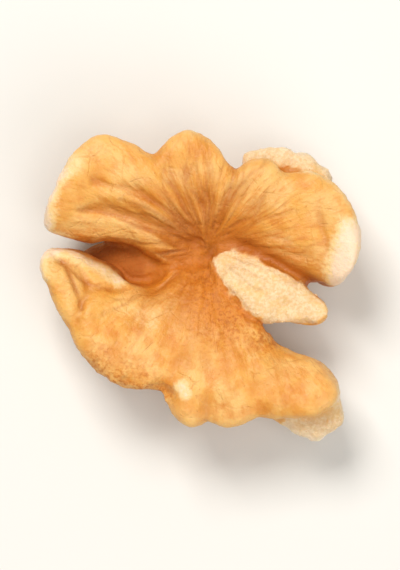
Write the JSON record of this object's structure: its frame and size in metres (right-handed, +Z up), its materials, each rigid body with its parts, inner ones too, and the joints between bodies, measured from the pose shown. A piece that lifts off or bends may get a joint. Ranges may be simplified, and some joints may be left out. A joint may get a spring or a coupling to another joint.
{
  "type": "walnut kernel",
  "caption": "Shelled walnut half with two folded lobes, veined inner face up, open slot between the lobes and a broken pale ridge.",
  "frame": {"origin": "on the surface that the kernel lies on, under the middle of its bounding box", "axes": "+X along the kernel's length, with the open slot at -X and the broken ridge at +X; +Z up, out of the inner face"},
  "size_m": [0.0342, 0.0334, 0.0134],
  "materials": {
    "skin": "satin"
  },
  "bodies": {
    "root": {"walnut_kernel": "skin"}
  },
  "joints": []
}
